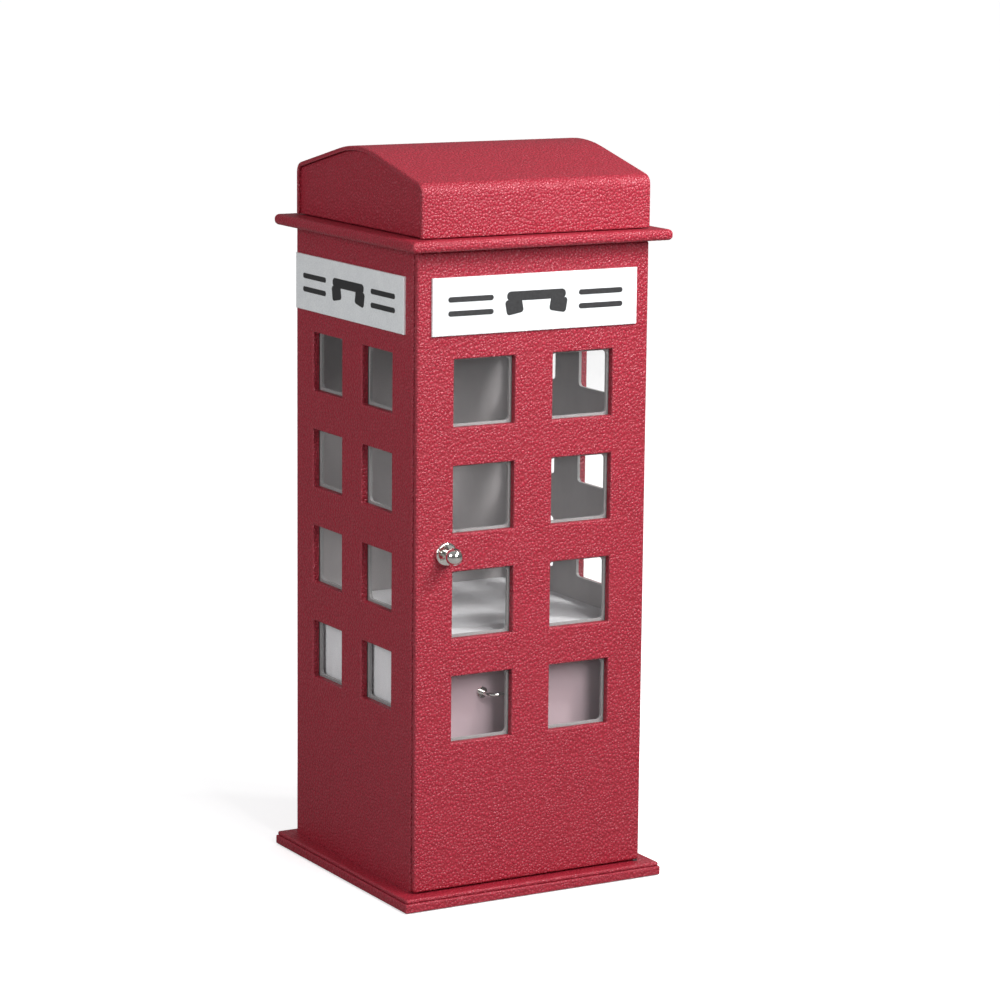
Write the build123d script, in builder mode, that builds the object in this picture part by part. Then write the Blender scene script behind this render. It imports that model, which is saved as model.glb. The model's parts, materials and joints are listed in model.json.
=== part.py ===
from build123d import *
from math import atan, cos, radians, sin, tan
import os

# Table-top jewellery cabinet in the form of a telephone booth.
# Millimetres, +Z up, origin at the middle of the base's underside, door at the front (-Y).

os.makedirs("parts", exist_ok=True)

# ---- cabinet ---------------------------------------------------------------
body_width = 130.0
body_depth = 129.0
board = 3.6
pane = 0.5
lining = 1.5
body_top = 325.0
edge_round = 1.2
half_width = body_width / 2
front_y = -body_depth / 2
back_y = body_depth / 2
inner_x = half_width - board - pane - lining
inner_back_y = back_y - board - lining

# ---- base --------------------------------------------------------------------
base_width = 147.0
base_depth = 143.6
felt_inset = 6.0
felt_thickness = 0.5
base_board_top = 5.1
base_top = 7.2
base_lip_inset = 0.7
base_round = 0.7
lip_round = 0.9

# ---- ledge and roof lid --------------------------------------------------------
ledge_width = 145.6
ledge_depth = 148.6
ledge_thickness = 5.5
ledge_round = 2.2
ledge_corner = 1.1
ledge_top = body_top + ledge_thickness
lid_gap = 0.4
lid_bottom = ledge_top + lid_gap
roof_width = 128.0
roof_depth = 133.4
roof_board = 2.2
eave_height = 25.9
ridge_height = 42.1
eave_radius = 5.5
ridge_radius = 88.0
roof_round = 1.0
roof_foot_round = 0.7
gable_recess = 1.4
gable_round = 0.9
roof_lining_thickness = 1.0
roof_lining_lift = 0.5
roof_slope = atan((ridge_height - eave_height) / (roof_depth / 2))

# ---- door ------------------------------------------------------------------------
door_gap = 0.9
door_clearance = 0.8
door_bottom = base_top + door_clearance
door_top = body_top - door_clearance
door_back_y = front_y + board
door_pane_y = door_back_y + pane
door_inner_y = door_pane_y + lining
door_lining_play = 1.2
door_lining_x = inner_x - door_lining_play
door_lining_inset = 1.5
wall_front_y = door_back_y + door_gap

# ---- windows: two columns of four in the door and in each side -------------------
window_rows = 4
door_window = (34.1, 33.4)
door_window_pitch = (55.4, 52.2)
door_window_lowest = 98.5
side_window = (31.6, 29.6)
side_window_pitch = (52.9, 49.5)
side_window_lowest = 109.7
side_window_shift = 3.5
window_round = 0.7
lining_window_inset = 1.1
lining_window_radius = 2.4

# ---- sign plaques --------------------------------------------------------------------
sign_width = 115.0
sign_height = 28.2
sign_thickness = 1.2
sign_round = 0.4
sign_z = 297.6
side_sign_inset = 1.8
side_sign_y = back_y - side_sign_inset - sign_width / 2
print_thickness = 0.15
bar_length = 25.0
bar_height = 2.6
bar_places = (36.5, 3.4)
handset_grip = (33.0, 4.6)
grip_round = 2.2
handset_cup = (9.4, 7.4)
cup_round = 1.6
cup_place = (12.4, -1.6)
grip_rise = 3.4
cup_tilt = 10.0

# ---- shelves and drawers -------------------------------------------------------------
shelf = 2.0
hanging_floor_top = 133.0
hanging_floor_bottom = 130.5
shelf_front_y = -57.4
drawer_front_y = -46.0
drawer_front_thickness = 2.5
drawer_front_gap = 0.8
drawer_wall = 1.8
drawer_side_gap = 1.6
drawer_back_gap = 1.0
drawer_front_lap = 0.6
drawer_front_round = 0.8
drawer_top_gap = 2.5
liner_card = 1.2
handle_half = 17.5
handle_reach = 8.6
handle_rod = 1.1
handle_bend = 5.0
rosette_radius = 2.8
rosette_thickness = 1.0
handle_screw_radius = 0.65
handle_screw_head = (2.2, 1.3)
handle_screw_grip = 3.0

# ---- ring tray under the roof ----------------------------------------------------------
ceiling_bottom = 291.0
ceiling_top = 294.0
tray_wall = 2.5
roll_count = 5
roll_height = 21.0
roll_radius = 8.0
roll_gap = 0.6

# ---- necklace carousel -------------------------------------------------------------------
spindle_radius = 3.0
running_fit = 0.05
spindle_head = (6.0, 2.0)
spindle_round = 0.6
spindle_sink = 0.1
carousel_radius = 30.0
carousel_bottom = 279.0
carousel_top = 284.0
carousel_play = 0.1
carousel_round = 1.2
peg_count = 8
peg_radius = 1.3
peg_root = 24.0
peg_length = 20.0
peg_ball = 2.2
peg_tilt = radians(12.0)

# ---- knob ---------------------------------------------------------------------------------
knob_x = -49.0
knob_z = 177.0
flange_radius = 5.8
flange_height = 2.2
flange_round = 1.0
knob_neck_radius = 2.0
knob_ball_radius = 4.3
knob_reach = 9.0
knob_screw_radius = 1.2
knob_screw_head = (2.9, 1.5)
knob_screw_room = 0.3
knob_screw_grip = 6.0
glued_fit = 0.02

# ---- door pivots ----------------------------------------------------------------------------
pivot_x = 63.2
pivot_y = -62.8
pivot_radius = 0.9
pivot_in_door = 6.0
pivot_in_base = 5.0
pivot_in_ledge = 3.5
pivot_end_play = 0.3
washer_radius = 1.6
washer_gap = 0.1

# ---- lid hinges -----------------------------------------------------------------------------
barrel = 1.6
pin_radius = 0.7
leaf = 0.6
leaf_height = 16.0
leaf_start = 1.9
leaf_end = 5.2
knuckles = 3
knuckle_gap = 0.2
hinge_offset = 1.7
lid_hinge_y = roof_depth / 2 + hinge_offset
lid_hinge_z = ledge_top + hinge_offset
lid_hinge_places = (-40.0, 40.0)
hinge_screw_radius = 0.6
hinge_screw_head = 1.2
hinge_screw_length = 2.7
hinge_screw_reach = 3.5
hinge_screw_spread = 4.6

# ---- magnetic catch ------------------------------------------------------------------------
catch_z = 183.5
catch_size = (5.0, 9.0, 12.0)
catch_round = 0.6
catch_face_y = -58.1
strike_x = -55.6
strike_size = (4.6, 0.4, 11.0)

# ---- cutting -----------------------------------------------------------------------------------
through = 3 * board
over = 1.0

AXIAL = (Align.CENTER, Align.CENTER, Align.MIN)
SUNK = (Align.CENTER, Align.CENTER, Align.MAX)


def write(piece, name):
    """Labels a finished piece and writes its STEP file."""
    piece.part.label = name
    export_step(piece.part, f"parts/{name}.step")


def between(corner, opposite, mode=Mode.ADD):
    """A box between two opposite corners."""
    middle = [(a + b) / 2 for a, b in zip(corner, opposite)]
    size = [abs(a - b) for a, b in zip(corner, opposite)]
    with Locations(tuple(middle)):
        Box(*size, mode=mode)


def window_centres(pitch, lowest, shift=0.0):
    """Centres of the windows, across and up, for two columns."""
    columns = (shift - pitch[0] / 2, shift + pitch[0] / 2)
    return [(across, lowest + row * pitch[1]) for across in columns for row in range(window_rows)]


def cut_windows(plane, centres, size, depth):
    """Square-cornered window holes."""
    with BuildSketch(plane) as holes:
        with Locations(*centres):
            Rectangle(*size)
    extrude(holes.sketch, amount=-depth, mode=Mode.SUBTRACT)


def cut_lining_windows(plane, centres, size, depth):
    """Window holes of a lining card: a little smaller, with round corners."""
    with BuildSketch(plane) as holes:
        with Locations(*centres):
            RectangleRounded(
                size[0] - 2 * lining_window_inset,
                size[1] - 2 * lining_window_inset,
                lining_window_radius,
            )
    extrude(holes.sketch, amount=-depth, mode=Mode.SUBTRACT)


def side_plane(sign):
    """The outer face of the left (-1) or right (+1) wall: local x runs along sign * Y."""
    return Plane(origin=(sign * half_width, 0, 0), x_dir=(0, sign, 0), z_dir=(sign, 0, 0))


def pivot_bore(low, high, fit):
    """The bore for a door pivot pin, between two heights."""
    with Locations((pivot_x, pivot_y, low)):
        Cylinder(pivot_radius + fit, high - low, align=AXIAL, mode=Mode.SUBTRACT)


front_plane = Plane(origin=(0, front_y, 0), x_dir=(1, 0, 0), z_dir=(0, -1, 0))
sides = (("left", -1), ("right", 1))

# ================================ base ==========================================
with BuildPart() as base_felt:
    felt_x = base_width / 2 - felt_inset
    felt_y = base_depth / 2 - felt_inset
    between((-felt_x, -felt_y, 0), (felt_x, felt_y, felt_thickness))
write(base_felt, "base_felt")

with BuildPart() as base_board:
    between(
        (-base_width / 2, -base_depth / 2, felt_thickness),
        (base_width / 2, base_depth / 2, base_board_top),
    )
    fillet(base_board.edges().filter_by(Axis.Z), base_round)
    fillet(base_board.faces().filter_by(Axis.Z).edges(), base_round)
    pivot_bore(base_top - pivot_in_base, base_board_top, glued_fit)
write(base_board, "base_board")

with BuildPart() as base_lip:
    lip_x = base_width / 2 - base_lip_inset
    lip_y = base_depth / 2 - base_lip_inset
    between((-lip_x, -lip_y, base_board_top), (lip_x, lip_y, base_top))
    fillet(base_lip.edges().filter_by(Axis.Z), lip_round)
    fillet(base_lip.faces().filter_by(Axis.Z).edges(), lip_round)
    pivot_bore(base_board_top, base_top, glued_fit)
write(base_lip, "base_lip")


# ================================ lid hinges ====================================
def hinge_spans(parity):
    """Low and high ends of one leaf's knuckles along the hinge: even ones, or odd ones."""
    step = leaf_height / knuckles
    starts = [-leaf_height / 2 + index * step for index in range(parity, knuckles, 2)]
    return [(start + knuckle_gap / 2, start + step - knuckle_gap / 2) for start in starts]


def add_leaf(axis_plane, parity, offset, bore):
    """One leaf: a plate towards local -X at local y = offset, with its knuckles round local Z."""
    plate_y = offset + leaf / 2
    with BuildSketch(axis_plane.offset(-leaf_height / 2)) as plate:
        with Locations((-(leaf_start + leaf_end) / 2, plate_y)):
            Rectangle(leaf_end - leaf_start, leaf)
    extrude(plate.sketch, amount=leaf_height)
    for low, high in hinge_spans(parity):
        with BuildSketch(axis_plane.offset(low)) as knuckle:
            Circle(barrel)
            with Locations((-leaf_start / 2, plate_y)):
                Rectangle(leaf_start, leaf)
            Circle(bore, mode=Mode.SUBTRACT)
        extrude(knuckle.sketch, amount=high - low)


def screw_planes(axis_plane, offset, outward):
    """Where a leaf's two screws enter it: planes on the plate's outer face, facing outward."""
    face = offset + leaf if outward > 0 else offset
    spots = [(-hinge_screw_reach, face, height) for height in (-hinge_screw_spread, hinge_screw_spread)]
    normal = axis_plane.y_dir * outward
    return [Plane(origin=axis_plane.from_local_coords(spot), z_dir=normal) for spot in spots]


def countersink(planes):
    """Countersunk holes through a leaf."""
    with Locations(*planes):
        Cone(hinge_screw_radius, hinge_screw_head, leaf, align=SUNK, mode=Mode.SUBTRACT)


def pilot_holes(planes):
    """The holes that a leaf's screws bite into."""
    with Locations(*planes):
        Cylinder(
            hinge_screw_radius + glued_fit,
            hinge_screw_length,
            align=SUNK,
            mode=Mode.SUBTRACT,
        )


def add_hinge_screws(planes):
    """Countersunk screws, their heads flush with the leaf."""
    with Locations(*planes):
        Cylinder(hinge_screw_radius, hinge_screw_length, align=SUNK)
        Cone(hinge_screw_radius, hinge_screw_head, leaf, align=SUNK)


def flat(lists):
    """One list from several."""
    return [item for items in lists for item in items]


# The lid leaf stands up from the hinge line, and the ledge leaf lies back from it.
lid_leaf_planes = [
    Plane(origin=(place, lid_hinge_y, lid_hinge_z), x_dir=(0, 0, -1), z_dir=(-1, 0, 0))
    for place in lid_hinge_places
]
ledge_leaf_planes = [
    Plane(origin=(place, lid_hinge_y, lid_hinge_z), x_dir=(0, -1, 0), z_dir=(-1, 0, 0))
    for place in lid_hinge_places
]
lid_leaf_offset = hinge_offset - leaf
ledge_leaf_offset = -hinge_offset
lid_screw_planes = flat(screw_planes(plane, lid_leaf_offset, -1) for plane in lid_leaf_planes)
ledge_screw_planes = flat(screw_planes(plane, ledge_leaf_offset, 1) for plane in ledge_leaf_planes)

with BuildPart() as lid_hinge_lid_leaves:
    for plane in lid_leaf_planes:
        add_leaf(plane, 1, lid_leaf_offset, pin_radius + running_fit)
    countersink(lid_screw_planes)
write(lid_hinge_lid_leaves, "lid_hinge_lid_leaves")

with BuildPart() as lid_hinge_ledge_leaves:
    for plane in ledge_leaf_planes:
        add_leaf(plane, 0, ledge_leaf_offset, pin_radius + glued_fit)
    countersink(ledge_screw_planes)
write(lid_hinge_ledge_leaves, "lid_hinge_ledge_leaves")

with BuildPart() as lid_hinge_pins:
    for plane in lid_leaf_planes:
        with BuildSketch(plane.offset(-leaf_height / 2)):
            Circle(pin_radius)
        extrude(amount=leaf_height)
write(lid_hinge_pins, "lid_hinge_pins")

with BuildPart() as lid_hinge_lid_screws:
    add_hinge_screws(lid_screw_planes)
write(lid_hinge_lid_screws, "lid_hinge_lid_screws")

with BuildPart() as lid_hinge_ledge_screws:
    add_hinge_screws(ledge_screw_planes)
write(lid_hinge_ledge_screws, "lid_hinge_ledge_screws")


# ================================ walls =========================================
for side, sign in sides:
    plane = side_plane(sign)
    centres = window_centres(side_window_pitch, side_window_lowest, sign * side_window_shift)
    outer_x = sign * half_width
    board_x = sign * (half_width - board)
    pane_x = sign * (half_width - board - pane)

    with BuildPart() as wall:
        between((outer_x, wall_front_y, base_top), (board_x, back_y, body_top))
        cut_windows(plane, centres, side_window, through)
        outer_face = wall.faces().sort_by(Axis.X)[0 if sign < 0 else -1]
        fillet(outer_face.inner_wires().edges(), window_round)
        outer_face = wall.faces().sort_by(Axis.X)[0 if sign < 0 else -1]
        fillet(outer_face.outer_wire().edges().filter_by(Axis.Z), edge_round)
    write(wall, f"{side}_wall")

    with BuildPart() as window_pane:
        between((board_x, wall_front_y, base_top), (pane_x, back_y - board, body_top))
    write(window_pane, f"{side}_pane")

    with BuildPart() as wall_lining:
        between((pane_x, wall_front_y, base_top), (sign * inner_x, back_y - board, body_top))
        cut_lining_windows(plane, centres, side_window, through)
    write(wall_lining, f"{side}_lining")

with BuildPart() as back_wall:
    back_x = half_width - board
    between((-back_x, back_y - board, base_top), (back_x, back_y, body_top))
write(back_wall, "back_wall")

with BuildPart() as back_lining:
    between((-inner_x, inner_back_y, base_top), (inner_x, back_y - board, body_top))
write(back_lining, "back_lining")

# ================================ door ==========================================
knob_plane = Plane(origin=(knob_x, front_y, knob_z), z_dir=(0, -1, 0))
knob_screw_plane = Plane(origin=(knob_x, door_back_y, knob_z), z_dir=(0, -1, 0))
door_centres = window_centres(door_window_pitch, door_window_lowest)

with BuildPart() as door_board:
    between((-half_width, front_y, door_bottom), (half_width, door_back_y, door_top))
    cut_windows(front_plane, door_centres, door_window, through)
    fillet(door_board.faces().sort_by(Axis.Y)[0].inner_wires().edges(), window_round)
    fillet(door_board.edges().filter_by(Axis.Y).group_by(Axis.Z)[0], edge_round)
    fillet(door_board.edges().filter_by(Axis.Y).group_by(Axis.Z)[-1], edge_round)
    fillet(door_board.faces().sort_by(Axis.Y)[0].outer_wire().edges(), edge_round)
    swing_corner = door_board.edges().filter_by(Axis.Z).group_by(Axis.X)[-1].sort_by(Axis.Y)[-1]
    fillet(swing_corner, edge_round)
    pivot_bore(door_bottom, door_bottom + pivot_in_door, running_fit)
    pivot_bore(door_top - pivot_in_door, door_top, running_fit)
    with Locations(knob_plane):
        Cylinder(knob_screw_radius + glued_fit, through, mode=Mode.SUBTRACT)
write(door_board, "door_board")

with BuildPart() as door_pivot_pins:
    with Locations((pivot_x, pivot_y, base_top - pivot_in_base)):
        low_pin = pivot_in_base + door_clearance + pivot_in_door - pivot_end_play
        Cylinder(pivot_radius, low_pin, align=AXIAL)
    with Locations((pivot_x, pivot_y, body_top + pivot_in_ledge)):
        high_pin = pivot_in_ledge + door_clearance + pivot_in_door - pivot_end_play
        Cylinder(pivot_radius, high_pin, align=SUNK)
write(door_pivot_pins, "door_pivot_pins")

with BuildPart() as door_pivot_washers:
    with Locations((pivot_x, pivot_y, base_top), (pivot_x, pivot_y, door_top + washer_gap)):
        Cylinder(washer_radius, door_clearance - washer_gap, align=AXIAL)
        Cylinder(pivot_radius + glued_fit, door_clearance, align=AXIAL, mode=Mode.SUBTRACT)
write(door_pivot_washers, "door_pivot_washers")


def door_sheet(near_y, far_y):
    """A sheet on the door's inner face, with room for the knob screw's head."""
    between(
        (-door_lining_x, near_y, door_bottom + door_lining_inset),
        (door_lining_x, far_y, door_top - door_lining_inset),
    )
    with Locations(knob_plane):
        Cylinder(knob_screw_head[0] + knob_screw_room, 2 * through, mode=Mode.SUBTRACT)


with BuildPart() as door_pane:
    door_sheet(door_back_y, door_pane_y)
write(door_pane, "door_pane")

with BuildPart() as door_lining:
    door_sheet(door_pane_y, door_inner_y)
    cut_lining_windows(front_plane, door_centres, door_window, through)
write(door_lining, "door_lining")

with BuildPart() as knob_flange:
    with Locations(knob_plane):
        Cylinder(flange_radius, flange_height, align=AXIAL)
    fillet(knob_flange.faces().sort_by(Axis.Y)[0].edges(), flange_round)
    with Locations(knob_plane):
        Cylinder(knob_neck_radius + glued_fit, through, mode=Mode.SUBTRACT)
write(knob_flange, "knob_flange")

with BuildPart() as knob:
    with Locations(knob_plane):
        Cylinder(knob_neck_radius, knob_reach, align=AXIAL)
    with Locations(knob_plane.offset(knob_reach)):
        Sphere(knob_ball_radius)
    with Locations(knob_plane):
        Cylinder(
            knob_screw_radius + glued_fit,
            knob_screw_grip,
            align=AXIAL,
            mode=Mode.SUBTRACT,
        )
write(knob, "knob")

with BuildPart() as knob_screw:
    with Locations(knob_screw_plane):
        Cylinder(knob_screw_radius, board + knob_screw_grip, align=AXIAL)
        Cylinder(*knob_screw_head, align=SUNK)
write(knob_screw, "knob_screw")

with BuildPart() as strike_plate:
    between(
        (strike_x - strike_size[0] / 2, door_inner_y, catch_z - strike_size[2] / 2),
        (strike_x + strike_size[0] / 2, door_inner_y + strike_size[1], catch_z + strike_size[2] / 2),
    )
write(strike_plate, "strike_plate")

with BuildPart() as catch_magnet:
    between(
        (-inner_x, catch_face_y, catch_z - catch_size[2] / 2),
        (-inner_x + catch_size[0], catch_face_y + catch_size[1], catch_z + catch_size[2] / 2),
    )
    fillet(catch_magnet.edges().filter_by(Axis.Y), catch_round)
write(catch_magnet, "catch_magnet")


# ================================ signs =========================================
def add_sign(plane, across):
    """A plaque standing proud of a wall."""
    with BuildSketch(plane) as plaque:
        with Locations((across, sign_z)):
            Rectangle(sign_width, sign_height)
    extrude(plaque.sketch, amount=sign_thickness)


def add_handset(plane, across):
    """A plain handset between bars, printed on a plaque."""
    with BuildSketch(plane.offset(sign_thickness)) as drawing:
        with Locations((across, sign_z + grip_rise)):
            RectangleRounded(*handset_grip, grip_round)
        for hand in (-1, 1):
            cup = (across + hand * cup_place[0], sign_z + cup_place[1])
            with Locations(Location(cup, -hand * cup_tilt)):
                RectangleRounded(*handset_cup, cup_round)
            for rise in (-bar_places[1], bar_places[1]):
                with Locations((across + hand * bar_places[0], sign_z + rise)):
                    SlotOverall(bar_length, bar_height)
    extrude(drawing.sketch, amount=print_thickness)


with BuildPart() as door_sign:
    add_sign(front_plane, 0)
    fillet(door_sign.faces().sort_by(Axis.Y)[0].edges(), sign_round)
write(door_sign, "door_sign")

with BuildPart() as door_sign_print:
    add_handset(front_plane, 0)
write(door_sign_print, "door_sign_print")

for side, sign in sides:
    with BuildPart() as sign_plaque:
        add_sign(side_plane(sign), sign * side_sign_y)
        fillet(sign_plaque.faces().sort_by(Axis.X)[0 if sign < 0 else -1].edges(), sign_round)
    write(sign_plaque, f"{side}_sign")

    with BuildPart() as sign_print:
        add_handset(side_plane(sign), sign * side_sign_y)
    write(sign_print, f"{side}_sign_print")

# ================================ shelves =======================================
divider_middle = (base_top + shelf + hanging_floor_bottom) / 2

with BuildPart() as cabinet_floor:
    between((-inner_x, shelf_front_y, base_top), (inner_x, inner_back_y, base_top + shelf))
write(cabinet_floor, "cabinet_floor")

with BuildPart() as drawer_divider:
    between(
        (-inner_x, drawer_front_y, divider_middle - shelf / 2),
        (inner_x, inner_back_y, divider_middle + shelf / 2),
    )
write(drawer_divider, "drawer_divider")

with BuildPart() as hanging_floor:
    between((-inner_x, shelf_front_y, hanging_floor_bottom), (inner_x, inner_back_y, hanging_floor_top))
write(hanging_floor, "hanging_floor")

# ================================ drawers =======================================
drawer_spaces = (
    ("lower", base_top + shelf, divider_middle - shelf / 2),
    ("upper", divider_middle + shelf / 2, hanging_floor_bottom),
)
box_front_y = drawer_front_y + drawer_front_thickness
box_back_y = inner_back_y - drawer_back_gap
box_x = inner_x - drawer_side_gap


def handle_feet(height):
    """Planes at a handle's two feet, facing the door."""
    return [
        Plane(origin=(hand * handle_half, drawer_front_y, height), z_dir=(0, -1, 0))
        for hand in (-1, 1)
    ]


feet_planes = []
for level, low, high in drawer_spaces:
    handle_z = (low + high) / 2
    feet = handle_feet(handle_z)
    feet_planes += feet

    with BuildPart() as drawer_front:
        between(
            (-box_x - drawer_front_lap, drawer_front_y, low + drawer_front_gap / 2),
            (box_x + drawer_front_lap, box_front_y, high - drawer_front_gap),
        )
        fillet(drawer_front.faces().sort_by(Axis.Y)[0].edges(), drawer_front_round)
        with Locations(*feet):
            Cylinder(handle_screw_radius + glued_fit, through, mode=Mode.SUBTRACT)
    write(drawer_front, f"{level}_drawer_front")

    with BuildPart() as drawer_box:
        between((-box_x, box_front_y, low), (box_x, box_back_y, high - drawer_top_gap))
        between(
            (-box_x + drawer_wall, box_front_y + drawer_wall, low + drawer_wall),
            (box_x - drawer_wall, box_back_y - drawer_wall, high),
            mode=Mode.SUBTRACT,
        )
        with Locations(*feet):
            Cylinder(handle_screw_radius + glued_fit, through, mode=Mode.SUBTRACT)
    write(drawer_box, f"{level}_drawer_box")

    with BuildPart() as drawer_liner:
        between(
            (-box_x + drawer_wall, box_front_y + drawer_wall, low + drawer_wall),
            (box_x - drawer_wall, box_back_y - drawer_wall, low + drawer_wall + liner_card),
        )
    write(drawer_liner, f"{level}_drawer_liner")

    with BuildPart() as drawer_handle:
        bar_y = drawer_front_y - handle_reach
        with BuildLine() as bow:
            FilletPolyline(
                (-handle_half, drawer_front_y, handle_z),
                (-handle_half, bar_y, handle_z),
                (handle_half, bar_y, handle_z),
                (handle_half, drawer_front_y, handle_z),
                radius=handle_bend,
            )
        with BuildSketch(feet[0]):
            Circle(handle_rod)
        sweep(path=bow.wire())
        with Locations(*feet):
            Cylinder(rosette_radius, rosette_thickness, align=AXIAL)
            Cylinder(
                handle_screw_radius + glued_fit,
                handle_screw_grip,
                align=AXIAL,
                mode=Mode.SUBTRACT,
            )
    write(drawer_handle, f"{level}_drawer_handle")

with BuildPart() as handle_screws:
    for foot in feet_planes:
        inside = foot.offset(-drawer_front_thickness - drawer_wall)
        with Locations(inside):
            Cylinder(
                handle_screw_radius,
                drawer_front_thickness + drawer_wall + handle_screw_grip,
                align=AXIAL,
            )
            Cylinder(*handle_screw_head, align=SUNK)
write(handle_screws, "handle_screws")

# ================================ ring tray =====================================
with BuildPart() as ledge:
    between(
        (-ledge_width / 2, -ledge_depth / 2, body_top),
        (ledge_width / 2, ledge_depth / 2, ledge_top),
    )
    fillet(ledge.edges().filter_by(Axis.Z), ledge_corner)
    fillet(ledge.faces().filter_by(Axis.Z).edges(), ledge_round)
    between(
        (-inner_x, shelf_front_y, body_top - over),
        (inner_x, inner_back_y, ledge_top + over),
        mode=Mode.SUBTRACT,
    )
    pilot_holes(ledge_screw_planes)
    pivot_bore(body_top, body_top + pivot_in_ledge, glued_fit)
write(ledge, "ledge")

with BuildPart() as ceiling_board:
    between((-inner_x, shelf_front_y, ceiling_bottom), (inner_x, inner_back_y, ceiling_top))
    with Locations((0, 0, ceiling_bottom)):
        Cylinder(spindle_radius + glued_fit, through, mode=Mode.SUBTRACT)
write(ceiling_board, "ceiling_board")

tray_x = inner_x - tray_wall
tray_front_y = shelf_front_y + tray_wall
tray_back_y = inner_back_y - tray_wall

with BuildPart() as tray_frame:
    between((-inner_x, shelf_front_y, ceiling_top), (inner_x, inner_back_y, ledge_top))
    between(
        (-tray_x, tray_front_y, ceiling_top - over),
        (tray_x, tray_back_y, ledge_top + over),
        mode=Mode.SUBTRACT,
    )
write(tray_frame, "tray_frame")

roll_pitch = (tray_back_y - tray_front_y) / roll_count
roll_half = tray_x - roll_gap

with BuildPart() as ring_rolls:
    with BuildSketch(Plane.YZ.offset(-roll_half)):
        for index in range(roll_count):
            roll_y = tray_front_y + (index + 0.5) * roll_pitch
            with Locations((roll_y, ceiling_top + roll_height / 2)):
                RectangleRounded(roll_pitch - roll_gap, roll_height, roll_radius)
            with Locations((roll_y, ceiling_top + roll_radius / 2)):
                Rectangle(roll_pitch - roll_gap, roll_radius)
    extrude(amount=2 * roll_half)
write(ring_rolls, "ring_rolls")


# ================================ roof lid ======================================
def roof_outline(inset, low):
    """Edges of the roof's section, inset by a board's thickness and closed at the bottom."""
    half = roof_depth / 2 - inset
    drop = inset / cos(roof_slope)
    eave = ledge_top + eave_height + inset * tan(roof_slope) - drop
    ridge = ledge_top + ridge_height - drop
    with BuildLine() as outline:
        FilletPolyline(
            (-half, low),
            (-half, eave),
            (0, ridge),
            (half, eave),
            (half, low),
            radius=[eave_radius - inset, ridge_radius - inset, eave_radius - inset],
        )
        Line((half, low), (-half, low))
    return outline.edges()


with BuildPart() as roof_wrap:
    with BuildSketch(Plane.YZ.offset(-roof_width / 2)):
        make_face(roof_outline(0, lid_bottom))
    extrude(amount=roof_width)
    fillet(roof_wrap.faces().filter_by(Axis.X).edges() - roof_wrap.edges().group_by(Axis.Z)[0], roof_round)
    fillet(roof_wrap.edges().group_by(Axis.Z)[0], roof_foot_round)
    with BuildSketch(Plane.YZ.offset(-roof_width / 2 - over)):
        make_face(roof_outline(roof_board, lid_bottom - over))
    extrude(amount=roof_width + 2 * over, mode=Mode.SUBTRACT)
    pilot_holes(lid_screw_planes)
write(roof_wrap, "roof_wrap")

gable_outer = roof_width / 2 - gable_recess
for side, sign in sides:
    with BuildPart() as gable:
        with BuildSketch(Plane.YZ.offset(sign * gable_outer)):
            make_face(roof_outline(roof_board, lid_bottom))
        extrude(amount=-sign * roof_board)
        fillet(gable.faces().sort_by(Axis.X)[0 if sign < 0 else -1].edges(), gable_round)
    write(gable, f"{side}_gable")

lining_half = gable_outer - roof_board
with BuildPart() as roof_lining:
    with BuildSketch(Plane.YZ.offset(-lining_half)):
        make_face(roof_outline(roof_board, lid_bottom + roof_lining_lift))
    extrude(amount=2 * lining_half)
    with BuildSketch(Plane.YZ.offset(-lining_half - over)):
        make_face(roof_outline(roof_board + roof_lining_thickness, lid_bottom - over))
    extrude(amount=2 * (lining_half + over), mode=Mode.SUBTRACT)
write(roof_lining, "roof_lining")

# ================================ necklace carousel ==============================
head_top = carousel_bottom - carousel_play

with BuildPart() as carousel_spindle:
    with Locations((0, 0, head_top - spindle_head[1])):
        Cylinder(*spindle_head, align=AXIAL)
        Cylinder(spindle_radius, ceiling_top - spindle_sink - head_top + spindle_head[1], align=AXIAL)
    fillet(carousel_spindle.edges().group_by(Axis.Z)[0], spindle_round)
write(carousel_spindle, "carousel_spindle")

with BuildPart() as spindle_washer:
    with Locations((0, 0, carousel_top + carousel_play)):
        Cylinder(spindle_head[0], ceiling_bottom - carousel_top - carousel_play, align=AXIAL)
        Cylinder(spindle_radius + glued_fit, through, align=AXIAL, mode=Mode.SUBTRACT)
write(spindle_washer, "spindle_washer")

peg_middle = (carousel_bottom + carousel_top) / 2
peg_planes = []
for index in range(peg_count):
    turn = radians(360 * index / peg_count)
    across = (cos(turn), sin(turn))
    peg_planes.append(
        Plane(
            origin=(peg_root * across[0], peg_root * across[1], peg_middle),
            z_dir=(across[0] * cos(peg_tilt), across[1] * cos(peg_tilt), sin(peg_tilt)),
        )
    )

with BuildPart() as carousel_disc:
    with Locations((0, 0, carousel_bottom)):
        Cylinder(carousel_radius, carousel_top - carousel_bottom, align=AXIAL)
    fillet(carousel_disc.edges(), carousel_round)
    with Locations((0, 0, carousel_bottom - over)):
        Cylinder(spindle_radius + running_fit, through, align=AXIAL, mode=Mode.SUBTRACT)
    with Locations(*peg_planes):
        Cylinder(peg_radius + glued_fit, through, align=AXIAL, mode=Mode.SUBTRACT)
write(carousel_disc, "carousel_disc")

with BuildPart() as necklace_pegs:
    with Locations(*peg_planes):
        Cylinder(peg_radius, peg_length, align=AXIAL)
    with Locations(*[plane.offset(peg_length) for plane in peg_planes]):
        Sphere(peg_ball)
write(necklace_pegs, "necklace_pegs")
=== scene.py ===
import json
from math import cos, pi, radians, sin

import bmesh
import bpy
from mathutils import Matrix, Vector, noise


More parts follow.
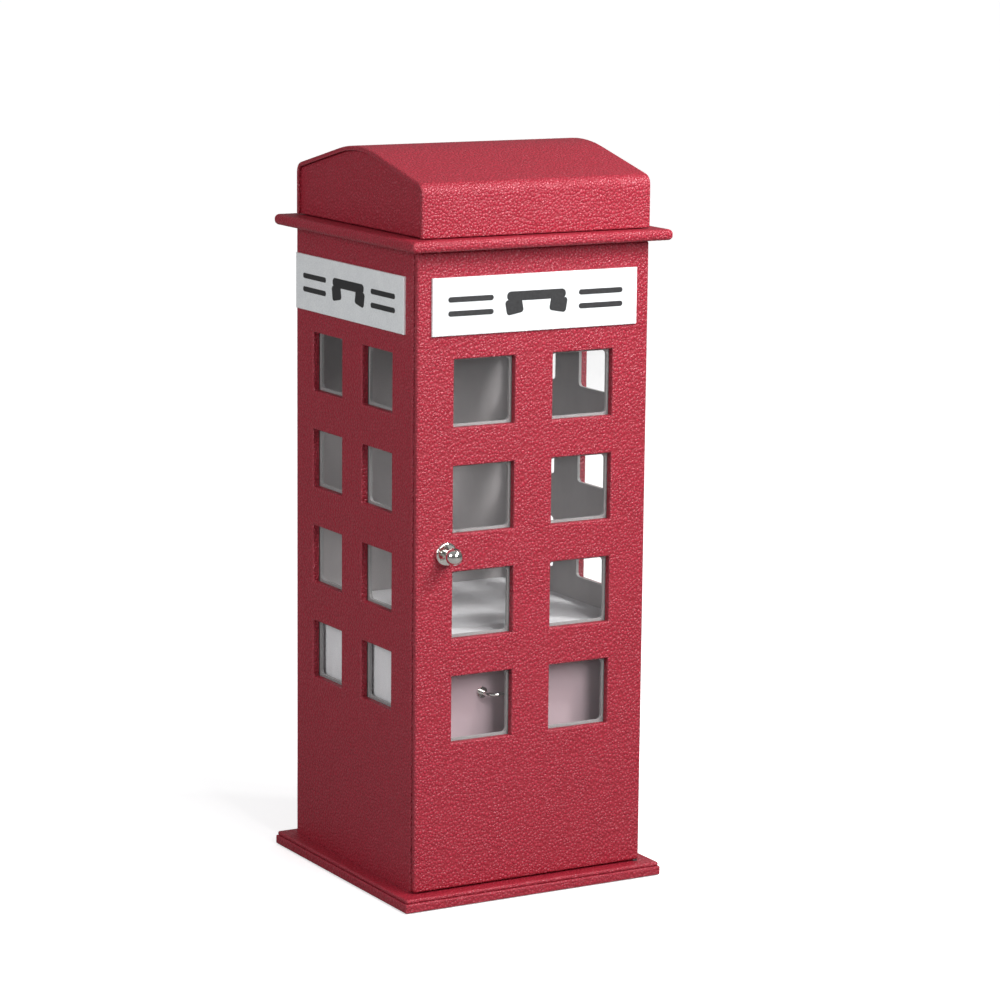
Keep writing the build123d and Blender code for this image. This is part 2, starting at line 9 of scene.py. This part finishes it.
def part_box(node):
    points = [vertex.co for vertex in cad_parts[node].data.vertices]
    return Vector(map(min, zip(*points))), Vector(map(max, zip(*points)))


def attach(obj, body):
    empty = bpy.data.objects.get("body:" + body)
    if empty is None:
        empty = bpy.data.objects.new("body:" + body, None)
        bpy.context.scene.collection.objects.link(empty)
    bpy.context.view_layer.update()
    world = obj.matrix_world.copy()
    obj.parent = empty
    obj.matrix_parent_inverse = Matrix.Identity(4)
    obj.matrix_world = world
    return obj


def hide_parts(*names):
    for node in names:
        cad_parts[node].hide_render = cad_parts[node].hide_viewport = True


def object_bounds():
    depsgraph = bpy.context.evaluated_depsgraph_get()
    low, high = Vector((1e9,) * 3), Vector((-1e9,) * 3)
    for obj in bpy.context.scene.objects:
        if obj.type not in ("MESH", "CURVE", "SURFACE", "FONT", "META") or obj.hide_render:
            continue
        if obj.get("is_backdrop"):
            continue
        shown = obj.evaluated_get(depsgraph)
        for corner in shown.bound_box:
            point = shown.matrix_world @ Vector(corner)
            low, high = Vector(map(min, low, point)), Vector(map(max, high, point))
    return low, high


# Lengths are metres in the CAD frame: +Z is up and the closed door looks along -Y.
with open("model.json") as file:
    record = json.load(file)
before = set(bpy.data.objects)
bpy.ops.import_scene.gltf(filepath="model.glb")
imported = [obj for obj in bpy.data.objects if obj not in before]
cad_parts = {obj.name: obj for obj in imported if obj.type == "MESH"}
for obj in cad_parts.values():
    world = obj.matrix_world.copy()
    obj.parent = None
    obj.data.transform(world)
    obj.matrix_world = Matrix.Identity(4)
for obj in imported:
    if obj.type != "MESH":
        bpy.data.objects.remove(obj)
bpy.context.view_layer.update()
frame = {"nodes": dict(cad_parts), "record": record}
nodes = frame["nodes"]
scene = bpy.context.scene


# ================================ colours =======================================
def rgb(red, green, blue):
    return (red, green, blue, 1.0)


def grey(level):
    return rgb(level, level, level)


def shade(color, factor):
    """The colour made lighter or darker, no brighter than full white."""
    return rgb(*(min(channel * factor, 1.0) for channel in color[:3]))


# ================================ node helpers ==================================
# The mix node's sockets for colours
MIX_FACTOR = 0
MIX_FIRST = 6
MIX_SECOND = 7
MIX_RESULT = 2

# Dot product of the true and the rounded normal, on a flat face and well into an edge
FLAT_DOT = 0.995
EDGE_DOT = 0.8

# Dot product above which a face counts as looking along a direction
FACING_DOT = 0.7

BEVEL_SAMPLES = 4


class Tree:
    """Builds one material's node tree."""

    def __init__(self, name):
        self.material = bpy.data.materials.new(name)
        self.material.use_nodes = True
        self.tree = self.material.node_tree
        self.shader = self.tree.nodes["Principled BSDF"]
        self.place = self.add("ShaderNodeTexCoord")

    def add(self, kind, **settings):
        node = self.tree.nodes.new(kind)
        for key, value in settings.items():
            setattr(node, key, value)
        return node

    def link(self, source, target):
        self.tree.links.new(source, target)

    def feed(self, socket, value):
        """Sets a socket to a value, or links it to another socket."""
        if isinstance(value, bpy.types.NodeSocket):
            self.link(value, socket)
        else:
            socket.default_value = value

    def noise(self, scale, detail=2.0, rough=0.5, stretch=None):
        """Noise from 0 to 1 on the piece's own coordinates. The scale is in waves per metre."""
        node = self.add("ShaderNodeTexNoise")
        node.inputs["Scale"].default_value = scale
        node.inputs["Detail"].default_value = detail
        node.inputs["Roughness"].default_value = rough
        source = self.place.outputs["Object"]
        if stretch is not None:
            mapping = self.add("ShaderNodeMapping")
            mapping.inputs["Scale"].default_value = stretch
            self.link(source, mapping.inputs["Vector"])
            source = mapping.outputs["Vector"]
        self.link(source, node.inputs["Vector"])
        return node.outputs[0]

    def cells(self, feature, scale, vector):
        """Distance to the middle (F1) or to the border (DISTANCE_TO_EDGE) of scattered cells."""
        node = self.add("ShaderNodeTexVoronoi", feature=feature)
        node.inputs["Scale"].default_value = scale
        self.link(vector, node.inputs["Vector"])
        return node.outputs["Distance"]

    def wobble(self, scale, amount):
        """Object coordinates pushed about by noise, so that a pattern isn't regular."""
        node = self.add("ShaderNodeTexNoise")
        node.inputs["Scale"].default_value = scale
        node.inputs["Detail"].default_value = 2.0
        self.link(self.place.outputs["Object"], node.inputs["Vector"])
        push = self.add("ShaderNodeVectorMath", operation="MULTIPLY_ADD")
        push.inputs[1].default_value = (amount, amount, amount)
        self.link(node.outputs["Color"], push.inputs[0])
        self.link(self.place.outputs["Object"], push.inputs[2])
        return push.outputs["Vector"]

    def math(self, operation, first, second=0.0, third=None):
        node = self.add("ShaderNodeMath", operation=operation)
        self.feed(node.inputs[0], first)
        self.feed(node.inputs[1], second)
        if third is not None:
            self.feed(node.inputs[2], third)
        return node.outputs[0]

    def times(self, value, factor):
        return self.math("MULTIPLY", value, factor)

    def plus(self, base, extra, share):
        """The base with a share of something else added."""
        return self.math("MULTIPLY_ADD", extra, share, base)

    def span(self, value, low, high, new_low=0.0, new_high=1.0):
        """Carries a value from one range to another and holds it at both ends."""
        node = self.add("ShaderNodeMapRange")
        for index, item in enumerate((value, low, high, new_low, new_high)):
            self.feed(node.inputs[index], item)
        return node.outputs[0]

    def mix(self, factor, first, second):
        """The first colour where the factor is 0, the second where it is 1."""
        node = self.add("ShaderNodeMix", data_type="RGBA")
        self.feed(node.inputs[MIX_FACTOR], factor)
        self.feed(node.inputs[MIX_FIRST], first)
        self.feed(node.inputs[MIX_SECOND], second)
        return node.outputs[MIX_RESULT]

    def bump(self, height, distance, strength=1.0, normal=None):
        node = self.add("ShaderNodeBump")
        node.inputs["Distance"].default_value = distance
        node.inputs["Strength"].default_value = strength
        self.link(height, node.inputs["Height"])
        if normal is not None:
            self.link(normal, node.inputs["Normal"])
        return node.outputs["Normal"]

    def rounded(self, radius):
        """Normals that bend round the edges, as if every edge had this radius."""
        node = self.add("ShaderNodeBevel", samples=BEVEL_SAMPLES)
        node.inputs["Radius"].default_value = radius
        return node.outputs["Normal"]

    def edges(self, radius):
        """1 on rounded edges and corners, 0 on flat faces."""
        geometry = self.add("ShaderNodeNewGeometry")
        dot = self.add("ShaderNodeVectorMath", operation="DOT_PRODUCT")
        self.link(self.rounded(radius), dot.inputs[0])
        self.link(geometry.outputs["True Normal"], dot.inputs[1])
        return self.span(dot.outputs["Value"], FLAT_DOT, EDGE_DOT)

    def facing(self, direction):
        """1 on the faces that look along a direction fixed to the piece, 0 on the others."""
        dot = self.add("ShaderNodeVectorMath", operation="DOT_PRODUCT")
        dot.inputs[1].default_value = direction
        self.link(self.place.outputs["Normal"], dot.inputs[0])
        return self.math("GREATER_THAN", dot.outputs["Value"], FACING_DOT)

    def finish(self, color, roughness, normal=None, **fixed):
        """Feeds the shader. The fixed values go by its sockets' names, with _ for a space."""
        self.feed(self.shader.inputs["Base Color"], color)
        self.feed(self.shader.inputs["Roughness"], roughness)
        if normal is not None:
            self.link(normal, self.shader.inputs["Normal"])
        for key, value in fixed.items():
            self.shader.inputs[key.replace("_", " ")].default_value = value
        return self.material


# ================================ materials =====================================
# The part of a noise's range that a colour or roughness follows: the narrower, the harder the contrast
GENTLE = (0.2, 0.8)
PLAIN = (0.3, 0.7)
HARD = (0.35, 0.65)


def make_leather():
    """Pebble-grained artificial leather: rounded pebbles in fine creases, with painted shade in the creases
    and a painted pale highlight along the edges.
    """
    # Painted shade: a darker red in the creases between the pebbles
    crease_shade = rgb(0.25, 0.009, 0.019)
    body = rgb(0.37, 0.017, 0.038)
    # Painted highlight: a pale pink mixed in along every rounded edge
    edge_highlight = rgb(0.62, 0.17, 0.21)
    cloudy = rgb(0.25, 0.009, 0.018)
    cells_per_metre = 640.0
    crown_spread = 0.5
    crease_width = 0.2
    crease_share = 0.5
    pore_share = 0.08
    slackest = 0.7
    grain_depth = 0.00027
    slack_depth = 0.0006
    soft_radius = 0.0009
    edge_highlight_radius = 0.0012
    edge_share = 0.5
    cloudiness = 0.25
    crease_roughness = 0.42
    crown_roughness = 0.29
    pore_roughness = 0.1
    edge_polish = -0.2
    tree = Tree("red_leather")
    where = tree.wobble(scale=700.0, amount=0.0004)
    from_middle = tree.math("POWER", tree.cells("F1", cells_per_metre, where), 2.0)
    crown = tree.span(from_middle, 0.0, crown_spread, 1.0, 0.0)
    crease = tree.span(tree.cells("DISTANCE_TO_EDGE", cells_per_metre, where), 0.0, crease_width)
    pores = tree.noise(scale=3200.0, detail=3.0, rough=0.6)
    slack = tree.noise(scale=70.0, detail=3.0, rough=0.55)
    broad = tree.noise(scale=9.0)
    height = tree.plus(crown, crease, crease_share)
    height = tree.plus(height, pores, pore_share)
    height = tree.times(height, tree.span(slack, 0.25, 0.7, slackest, 1.0))
    normal = tree.bump(slack, slack_depth, strength=0.3, normal=tree.rounded(soft_radius))
    normal = tree.bump(height, grain_depth, strength=1.0, normal=normal)
    edge = tree.edges(edge_highlight_radius)
    # Painted shade: the creases darker than the pebble crowns
    color = tree.mix(crease, crease_shade, body)
    # Painted highlight: the rounded edges turned paler
    color = tree.mix(tree.times(edge, edge_share), color, edge_highlight)
    color = tree.mix(tree.span(broad, 0.3, 0.75, 0.0, cloudiness), color, cloudy)
    roughness = tree.span(crown, 0.0, 1.0, crease_roughness, crown_roughness)
    roughness = tree.plus(roughness, pores, pore_roughness)
    roughness = tree.plus(roughness, edge, edge_polish)
    return tree.finish(color, roughness, normal, Specular_IOR_Level=0.75, Specular_Tint=rgb(1.0, 0.64, 0.7))


def make_suede(name, body, inward=None):
    """Short-napped suede-like lining. With inward, only that face is suede and the rest is grey card."""
    pale = shade(body, 1.07)
    dark = shade(body, 0.9)
    card_dark = grey(0.3)
    card_pale = rgb(0.38, 0.38, 0.375)
    card_roughness = 0.6
    smoothest = 0.78
    roughest = 0.98
    nap_cover = 0.55
    fine_share = 0.4
    nap_depth = 0.00012
    tree = Tree(name)
    nap = tree.noise(scale=1900.0, detail=4.0, rough=0.7)
    brushed = tree.noise(scale=60.0, detail=4.0, rough=0.65, stretch=(1.0, 1.0, 0.35))
    fine = tree.noise(scale=5200.0, detail=2.0, rough=0.6)
    color = tree.mix(tree.span(brushed, 0.32, 0.68), dark, pale)
    color = tree.mix(tree.span(nap, *HARD, 0.0, nap_cover), color, body)
    roughness = tree.span(nap, *GENTLE, smoothest, roughest)
    height = tree.plus(nap, fine, fine_share)
    if inward is not None:
        suede_here = tree.facing(inward)
        fibre = tree.noise(scale=2600.0, detail=3.0, rough=0.6)
        card = tree.mix(tree.span(fibre, *PLAIN), card_dark, card_pale)
        color = tree.mix(suede_here, card, color)
        rougher = tree.math("SUBTRACT", roughness, card_roughness)
        roughness = tree.plus(card_roughness, suede_here, rougher)
    normal = tree.bump(height, nap_depth, strength=0.5)
    return tree.finish(color, roughness, normal, Sheen_Weight=0.25, Sheen_Roughness=0.5)


def make_satin():
    """Grey satin paper with a rosy shine, on the drawer fronts."""
    dark = rgb(0.54, 0.42, 0.455)
    light = rgb(0.6, 0.465, 0.5)
    thread = rgb(0.64, 0.5, 0.54)
    thread_cover = 0.4
    smoothest = 0.3
    roughest = 0.42
    fibre_depth = 0.00006
    tree = Tree("rosy_satin")
    fibre = tree.noise(scale=1500.0, detail=4.0, rough=0.65)
    cloud = tree.noise(scale=60.0, detail=3.0, rough=0.5)
    color = tree.mix(tree.span(cloud, *PLAIN), dark, light)
    color = tree.mix(tree.span(fibre, *HARD, 0.0, thread_cover), color, thread)
    roughness = tree.span(fibre, *GENTLE, smoothest, roughest)
    normal = tree.bump(fibre, fibre_depth, strength=0.5)
    return tree.finish(color, roughness, normal, Specular_IOR_Level=1.0, Specular_Tint=rgb(1.0, 0.36, 0.45))


def make_plaque():
    """White satin plastic sheet."""
    dark = rgb(0.72, 0.74, 0.755)
    light = rgb(0.77, 0.79, 0.8)
    cut_edge = rgb(0.62, 0.63, 0.64)
    edge_radius = 0.0008
    edge_share = 0.35
    smoothest = 0.2
    roughest = 0.34
    speck_share = 0.3
    flow_depth = 0.00005
    tree = Tree("white_plaque")
    flow = tree.noise(scale=160.0)
    specks = tree.noise(scale=3000.0)
    color = tree.mix(tree.span(flow, *PLAIN), dark, light)
    color = tree.mix(tree.times(tree.edges(edge_radius), edge_share), color, cut_edge)
    roughness = tree.span(specks, *PLAIN, smoothest, roughest)
    normal = tree.bump(tree.plus(flow, specks, speck_share), flow_depth, strength=0.35)
    return tree.finish(color, roughness, normal)


def make_print():
    """Thick screen-printed ink."""
    dark = rgb(0.016, 0.016, 0.017)
    light = rgb(0.03, 0.03, 0.032)
    smoothest = 0.42
    roughest = 0.6
    mottle_depth = 0.00004
    tree = Tree("printed_charcoal")
    mottle = tree.noise(scale=700.0, detail=3.0, rough=0.6)
    color = tree.mix(tree.span(mottle, *PLAIN), dark, light)
    roughness = tree.span(mottle, *PLAIN, smoothest, roughest)
    normal = tree.bump(mottle, mottle_depth, strength=0.4)
    return tree.finish(color, roughness, normal)


def make_steel():
    """Plated and polished steel with faint polishing marks and handling smears."""
    bright = rgb(0.8, 0.78, 0.74)
    dull = shade(bright, 0.82)
    rubbed = grey(0.86)
    edge_radius = 0.0003
    edge_share = 0.4
    smear_cover = 0.6
    smear_roughness = 0.1
    smoothest = 0.0
    roughest = 0.05
    mark_depth = 0.00002
    tree = Tree("polished_steel")
    marks = tree.noise(scale=900.0, detail=3.0, rough=0.6)
    smears = tree.noise(scale=240.0, detail=3.0, rough=0.6)
    color = tree.mix(tree.span(smears, 0.3, 0.75, 0.0, smear_cover), bright, dull)
    color = tree.mix(tree.times(tree.edges(edge_radius), edge_share), color, rubbed)
    roughness = tree.span(marks, *GENTLE, smoothest, roughest)
    roughness = tree.plus(roughness, smears, smear_roughness)
    normal = tree.bump(marks, mark_depth, strength=0.25)
    return tree.finish(color, roughness, normal, Metallic=1.0)


def make_pane():
    """Thin clear plastic sheet with a little dust."""
    clear = rgb(0.3, 0.31, 0.32)
    dusty = rgb(0.45, 0.46, 0.47)
    smoothest = 0.05
    roughest = 0.16
    ripple_depth = 0.0002
    tree = Tree("clear_pane")
    dust = tree.noise(scale=1400.0, detail=4.0, rough=0.65)
    ripple = tree.noise(scale=38.0)
    roughness = tree.span(dust, 0.35, 0.75, smoothest, roughest)
    normal = tree.bump(ripple, ripple_depth, strength=0.3)
    color = tree.mix(tree.span(dust, 0.5, 0.8), clear, dusty)
    return tree.finish(color, roughness, normal, Alpha=0.05)


def make_plastic():
    """Black moulded plastic with a fine spark-eroded texture."""
    dark = rgb(0.018, 0.018, 0.019)
    light = rgb(0.034, 0.034, 0.035)
    rubbed = grey(0.08)
    edge_radius = 0.0004
    edge_share = 0.4
    smoothest = 0.42
    roughest = 0.6
    texture_depth = 0.00005
    tree = Tree("black_plastic")
    texture = tree.noise(scale=2600.0, detail=3.0, rough=0.6)
    broad = tree.noise(scale=120.0)
    color = tree.mix(tree.span(broad, *PLAIN), dark, light)
    color = tree.mix(tree.times(tree.edges(edge_radius), edge_share), color, rubbed)
    roughness = tree.span(texture, *PLAIN, smoothest, roughest)
    normal = tree.bump(texture, texture_depth, strength=0.5)
    return tree.finish(color, roughness, normal)


def make_felt():
    """Black wool felt."""
    dark = rgb(0.012, 0.012, 0.013)
    light = rgb(0.05, 0.05, 0.052)
    tuft_share = 0.5
    smoothest = 0.85
    roughest = 1.0
    felt_depth = 0.0003
    tree = Tree("black_felt")
    fibres = tree.noise(scale=1300.0, detail=6.0, rough=0.75)
    tufts = tree.noise(scale=240.0, detail=3.0, rough=0.6)
    color = tree.mix(tree.span(fibres, *PLAIN), dark, light)
    height = tree.plus(fibres, tufts, tuft_share)
    roughness = tree.span(fibres, *GENTLE, smoothest, roughest)
    normal = tree.bump(height, felt_depth, strength=0.7)
    return tree.finish(color, roughness, normal, Sheen_Weight=0.3)


lining_color = rgb(0.42, 0.395, 0.395)
velvet = make_suede("ring_roll_velvet", rgb(0.42, 0.4, 0.405))
pale_suede = make_suede("pale_grey_suede", rgb(0.86, 0.86, 0.88))
satin = make_satin()
by_slot = {
    "red_leather": make_leather(),
    "grey_suede": make_suede("grey_suede", lining_color),
    "clear_pane": make_pane(),
    "white_plaque": make_plaque(),
    "printed_charcoal": make_print(),
    "polished_steel": make_steel(),
    "black_plastic": make_plastic(),
    "black_felt": make_felt(),
    "ring_roll_velvet": velvet,
}

# Linings of cut card, and the way that their one suede face looks
suede_faces = {
    "left_lining": (1.0, 0.0, 0.0),
    "right_lining": (-1.0, 0.0, 0.0),
    "door_lining": (0.0, 1.0, 0.0),
    "back_lining": (0.0, -1.0, 0.0),
}


def pick_material(node, slot):
    """The slot's material, unless the node has a finish of its own."""
    if node.endswith("drawer_front"):
        return satin
    if node.endswith("drawer_box") or node == "hanging_floor":
        return pale_suede
    if node in suede_faces:
        return make_suede(f"{node}_card", lining_color, inward=suede_faces[node])
    return by_slot[slot]


for part in frame["record"]["subparts"]:
    mesh = nodes[part["node"]].data
    mesh.materials.clear()
    mesh.materials.append(pick_material(part["node"], part["material_slot"]))


# ================================ padded ring rolls =============================
roll_count = 5
roll_gap = 0.0006
seed_step = 3.7
points_around = 56
points_along = 110

# The section is a rounded box: the lower the power, the squarer the side
side_power = 0.62
top_power = 0.8
bottom_power = 0.5

# The crowned ends, as shares of the half length and of the section
crown_start = 0.955
crown_length = 0.045
crown_power = 2.6
tip_share = 0.35
body_share = 0.65

# Swelling of the foam: waves per metre, how much finer the second swell is, and shares of the section
swell_along = 95
swell_across = 160
finer = 2.7
swell_share = 0.5
fine_share = 0.25
swell_depth = 0.022

# Puckers of the velvet at the crowned ends: radians over the half length, and shares of the section
pucker_turn = 190
pucker_share = 0.12
pucker_depth = 0.03


def fuller(value, power):
    """A sine or cosine raised to a power, with its sign kept."""
    return abs(value) ** power * (1 if value >= 0 else -1)


def roll_mesh(name, low, high, seed):
    """One velvet roll over foam: a fat bar with crowned ends, soft swelling and puckers at the ends."""
    centre = (low + high) / 2
    half = (high - low) / 2
    form = bmesh.new()
    rings = []
    for step in range(points_along + 1):
        t = step / points_along * 2 - 1
        end = max(0.0, (abs(t) - crown_start) / crown_length)
        crown = (1 - end**crown_power) ** (1 / crown_power) if end < 1 else 0.0
        size = tip_share + body_share * crown
        ring = []
        for turn in range(points_around):
            angle = 2 * pi * turn / points_around
            across = fuller(cos(angle), side_power)
            upward = fuller(sin(angle), top_power if sin(angle) > 0 else bottom_power)
            spot = Vector((t * half.x, across * half.y * size, upward * half.z * size))
            sample = Vector((spot.x * swell_along, spot.y * swell_across + seed, spot.z * swell_across))
            swell = noise.noise(sample) * swell_share + noise.noise(sample * finer) * fine_share
            pucker = sin(t * pucker_turn + seed) * pucker_share * end
            inward = 1 - swell_depth * (1 + swell) - pucker_depth * pucker
            ring.append(form.verts.new(centre + Vector((spot.x, spot.y * inward, spot.z * inward))))
        rings.append(ring)
    for first, second in zip(rings, rings[1:]):
        for turn in range(points_around):
            after = (turn + 1) % points_around
            form.faces.new((first[turn], first[after], second[after], second[turn]))
    form.faces.new(list(reversed(rings[0])))
    form.faces.new(rings[-1])
    bmesh.ops.recalc_face_normals(form, faces=form.faces)
    mesh = bpy.data.meshes.new(name)
    form.to_mesh(mesh)
    form.free()
    mesh.polygons.foreach_set("use_smooth", [True] * len(mesh.polygons))
    piece = bpy.data.objects.new(name, mesh)
    scene.collection.objects.link(piece)
    return piece


rolls_low, rolls_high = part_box("ring_rolls")
roll_pitch = (rolls_high.y - rolls_low.y + roll_gap) / roll_count
for index in range(roll_count):
    front = rolls_low.y + index * roll_pitch
    low = Vector((rolls_low.x, front, rolls_low.z))
    high = Vector((rolls_high.x, front + roll_pitch - roll_gap, rolls_high.z))
    roll = roll_mesh(f"ring_roll_{index + 1}", low, high, seed_step * index)
    roll.data.materials.append(velvet)
    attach(roll, "cabinet")
    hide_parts("ring_rolls")


# ================================ floor =========================================
floor_half = 30.0


def make_floor():
    """Plain pale paper, whiter to the eye than the light it throws back on the booth."""
    thrown_back = grey(0.28)
    glow = 0.5
    roughness = 0.9
    tree = Tree("pale_floor")
    grain = tree.noise(scale=300.0, detail=3.0, rough=0.6)
    seen_directly = tree.add("ShaderNodeLightPath").outputs["Is Camera Ray"]
    pale = tree.mix(tree.span(grain, *PLAIN), grey(0.94), grey(0.95))
    color = tree.mix(seen_directly, thrown_back, pale)
    tree.feed(tree.shader.inputs["Emission Color"], grey(1.0))
    tree.feed(tree.shader.inputs["Emission Strength"], tree.times(seen_directly, glow))
    return tree.finish(color, roughness)


corners = [(x * floor_half, y * floor_half, 0.0) for x, y in ((-1, -1), (1, -1), (1, 1), (-1, 1))]
floor_mesh = bpy.data.meshes.new("floor")
floor_mesh.from_pydata(corners, [], [(0, 1, 2, 3)])
floor_mesh.materials.append(make_floor())
floor = bpy.data.objects.new("floor", floor_mesh)
scene.collection.objects.link(floor)
floor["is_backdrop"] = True


# ================================ surroundings and lamps ========================
def make_world():
    """Plain white to the eye. As light it is dim, and stronger from above than from the side."""
    side_light = 0.1
    top_light = 0.34
    top_height = 0.7
    world = bpy.data.worlds.new("studio")
    world.use_nodes = True
    tree = world.node_tree
    lit = tree.nodes["Background"]
    lit.inputs["Color"].default_value = rgb(0.97, 0.98, 1.0)
    direction = tree.nodes.new("ShaderNodeTexCoord")
    parts = tree.nodes.new("ShaderNodeSeparateXYZ")
    tree.links.new(direction.outputs["Generated"], parts.inputs[0])
    lift = tree.nodes.new("ShaderNodeMapRange")
    lift.inputs["From Min"].default_value = 0.0
    lift.inputs["From Max"].default_value = top_height
    lift.inputs["To Min"].default_value = side_light
    lift.inputs["To Max"].default_value = top_light
    tree.links.new(parts.outputs["Z"], lift.inputs["Value"])
    tree.links.new(lift.outputs["Result"], lit.inputs["Strength"])
    seen = tree.nodes.new("ShaderNodeBackground")
    seen.inputs["Color"].default_value = grey(1.0)
    seen.inputs["Strength"].default_value = 1.0
    path = tree.nodes.new("ShaderNodeLightPath")
    choose = tree.nodes.new("ShaderNodeMixShader")
    tree.links.new(path.outputs["Is Camera Ray"], choose.inputs[0])
    tree.links.new(lit.outputs[0], choose.inputs[1])
    tree.links.new(seen.outputs[0], choose.inputs[2])
    tree.links.new(choose.outputs[0], tree.nodes["World Output"].inputs["Surface"])
    return world


def from_side(azimuth, elevation, distance):
    """A place that far out from the origin: azimuth 0 is in front of the door, 90 to its right."""
    a = radians(azimuth)
    e = radians(elevation)
    return distance * Vector((sin(a) * cos(e), -cos(a) * cos(e), sin(e)))


def lamp(name, kind, place, target, energy, **settings):
    """A lamp that shines from a place to a target. It shows in reflections, but not to the camera."""
    data = bpy.data.lights.new(name, kind)
    data.energy = energy
    for key, value in settings.items():
        setattr(data, key, value)
    item = bpy.data.objects.new(name, data)
    scene.collection.objects.link(item)
    item.location = place
    item.rotation_euler = (Vector(target) - Vector(place)).to_track_quat("-Z", "Y").to_euler()
    item.visible_camera = False
    item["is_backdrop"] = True


def softbox(name, place, height, energy, size):
    """A square lamp of that size, aimed at that height in the middle of the booth."""
    lamp(name, "AREA", place, (0, 0, height), energy, size=size, shape="SQUARE")


scene.world = make_world()
lamp(
    "key",
    "SUN",
    place=from_side(27, 46, 3),
    target=(0, 0, 0),
    energy=1.2,
    color=(1.0, 0.985, 0.965),
    angle=radians(16),
)
softbox("front_box", place=(0.23, -0.37, 0.57), height=0.33, energy=1.5, size=0.08)
softbox("low_box", place=(0.08, -1.15, 0.72), height=0.13, energy=9.8, size=0.5)
softbox("left_box", place=from_side(-78, 30, 1.2), height=0.2, energy=4.9, size=0.5)
softbox("high_box", place=(0.5, -0.36, 1.05), height=0.25, energy=1.4, size=0.07)
softbox("back_box", place=from_side(122, 14, 1.6), height=0.2, energy=4.0, size=0.7)

# ================================ camera ========================================
camera_place = Vector((-0.8685, -1.5397, 0.5132))
camera_azimuth = -29.946
camera_elevation = 10.392
camera_roll = radians(0.583)

camera_data = bpy.data.cameras.new("camera")
camera_data.sensor_width = 36.0
camera_data.lens = 127.6
camera_data.clip_end = 200.0
camera = bpy.data.objects.new("camera", camera_data)
scene.collection.objects.link(camera)
back = from_side(camera_azimuth, camera_elevation, 1)
side = Vector((cos(radians(camera_azimuth)), sin(radians(camera_azimuth)), 0.0))
upright = back.cross(side)
right = side * cos(camera_roll) + upright * sin(camera_roll)
up = upright * cos(camera_roll) - side * sin(camera_roll)
turned = Matrix((right, up, back)).transposed()
camera.matrix_world = Matrix.Translation(camera_place) @ turned.to_4x4()
scene.camera = camera
scene.view_settings.view_transform = "Standard"

# ================================ finish ========================================
low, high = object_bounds()
